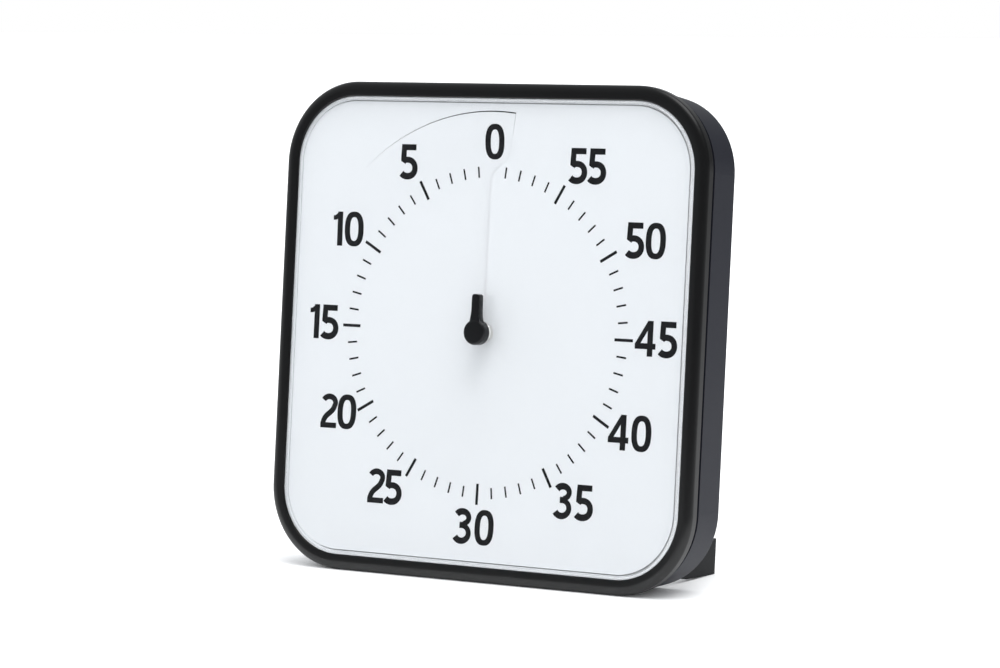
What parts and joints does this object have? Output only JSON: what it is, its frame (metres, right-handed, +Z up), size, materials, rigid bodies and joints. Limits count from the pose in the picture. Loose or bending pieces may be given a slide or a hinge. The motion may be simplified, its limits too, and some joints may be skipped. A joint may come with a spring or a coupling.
{
  "type": "visual countdown timer",
  "caption": "Square clock-like timer with rounded corners, white dial marked in minutes anticlockwise, red disc turned out through a slit by a lever knob, on two fold-out feet.",
  "frame": {"origin": "on the table, at the middle of the box round the timer as it stands leaning back on its open feet", "axes": "+X to the right of someone facing the dial, -Y towards that person, +Z up"},
  "size_m": [0.304, 0.1066, 0.3027],
  "materials": {
    "bezel_black": "satin black",
    "shell_charcoal": "fine matt charcoal",
    "clear_lens": "clear",
    "dial_white": "satin white sheet",
    "inner_black": "moulded",
    "zinc_steel": "zinc plated",
    "plated_steel": "nickel plated",
    "disc_red": "satin red sheet",
    "natural_plastic": "natural white",
    "knob_black": "satin black",
    "spring_brass": "bright",
    "wheel_brass": "polished",
    "cover_grey": "moulded",
    "washer_rubber": "dull",
    "magnet_grey": "ground",
    "soft_iron": "bare",
    "coil_copper": "enamelled wire",
    "cell_jacket": "plain printed-free jacket",
    "lead_red": "insulation",
    "board_green": "solder resist",
    "chip_black": "potted"
  },
  "bodies": {
    "case": {"front_bezel": "bezel_black", "lens": "clear_lens", "dial": "dial_white", "dial_carrier": "inner_black", "bezel_screws": "zinc_steel", "movement_case": "inner_black", "movement_cover": "cover_grey", "movement_screws": "zinc_steel", "sealing_washer": "washer_rubber", "fixing_nut": "spring_brass", "stator": "soft_iron", "coil": "coil_copper", "rear_shell": "shell_charcoal", "case_screws": "zinc_steel", "hanger_plate": "zinc_steel", "hanger_screws": "zinc_steel", "battery_tray": "inner_black", "battery_cell": "cell_jacket", "battery_spring": "plated_steel", "battery_contact": "plated_steel", "battery_leads": "lead_red", "circuit_board": "board_green", "board_screws": "zinc_steel", "clock_chip": "chip_black", "crystal": "plated_steel", "sounder": "inner_black", "switch_body": "cover_grey", "foot_pins": "zinc_steel"},
    "setting_knob": {"spindle": "plated_steel", "knob": "knob_black", "knob_collar": "natural_plastic", "clutch_washer": "spring_brass"},
    "disc": {"time_disc": "disc_red", "disc_hub": "natural_plastic"},
    "foot_l": {"foot_left": "shell_charcoal"},
    "foot_r": {"foot_right": "shell_charcoal"},
    "door": {"battery_door": "shell_charcoal"},
    "alert": {"switch_slider": "knob_black"},
    "centre": {"centre_wheel": "wheel_brass"},
    "third": {"third_wheel": "wheel_brass"},
    "seconds": {"seconds_wheel": "wheel_brass"},
    "intermediate": {"intermediate_wheel": "wheel_brass"},
    "rotor_body": {"rotor": "magnet_grey"}
  },
  "joints": [
    {"name": "knob_turn", "type": "hinge", "parent": "case", "child": "setting_knob", "pos_m": [0, -0.03425, 0.15148], "axis": [0, -0.9945, 0.1045], "range_deg": [0, 360]},
    {"name": "disc_rise", "type": "slide", "parent": "setting_knob", "child": "disc", "axis": [0, -0.9945, 0.1045], "range_m": [0, 0.0018]},
    {"name": "foot_left_fold", "type": "hinge", "parent": "case", "child": "foot_l", "pos_m": [-0.111, -0.01064, 0.01828], "axis": [0, -0.1045, -0.9945], "range_deg": [0, 90]},
    {"name": "foot_right_fold", "type": "hinge", "parent": "case", "child": "foot_r", "pos_m": [0.111, -0.01064, 0.01828], "axis": [0, 0.1045, 0.9945], "range_deg": [0, 90]},
    {"name": "door_swing", "type": "hinge", "parent": "case", "child": "door", "pos_m": [0, -0.00433, 0.07352], "axis": [-1, 0, 0], "range_deg": [0, 75]},
    {"name": "alert_slide", "type": "slide", "parent": "case", "child": "alert", "axis": [1, 0, 0], "range_m": [0, 0.004]},
    {"name": "intermediate_turn", "type": "hinge", "parent": "case", "child": "intermediate", "pos_m": [0.01097, -0.01629, 0.15969], "axis": [0, -0.9945, 0.1045], "continuous": true},
    {"name": "rotor_turn", "type": "hinge", "parent": "case", "child": "rotor_body", "pos_m": [0.01797, -0.01671, 0.15567], "axis": [0, -0.9945, 0.1045], "continuous": true},
    {"name": "seconds_turn", "type": "hinge", "parent": "case", "child": "seconds", "pos_m": [-0.00211, -0.01786, 0.16388], "axis": [0, -0.9945, 0.1045], "continuous": true},
    {"name": "third_turn", "type": "hinge", "parent": "case", "child": "third", "pos_m": [-0.01318, -0.02069, 0.15609], "axis": [0, -0.9945, 0.1045], "continuous": true},
    {"name": "centre_turn", "type": "hinge", "parent": "case", "child": "centre", "pos_m": [0, -0.02331, 0.15033], "axis": [0, -0.9945, 0.1045], "continuous": true}
  ],
  "couplings": [
    {"joint": "disc_rise", "follows": "knob_turn", "m_per_rad": 0.00028648},
    {"joint": "rotor_turn", "follows": "intermediate_turn", "ratio": -4},
    {"joint": "seconds_turn", "follows": "intermediate_turn", "ratio": -0.13333},
    {"joint": "third_turn", "follows": "intermediate_turn", "ratio": 0.017778},
    {"joint": "centre_turn", "follows": "intermediate_turn", "ratio": -0.0022222}
  ]
}
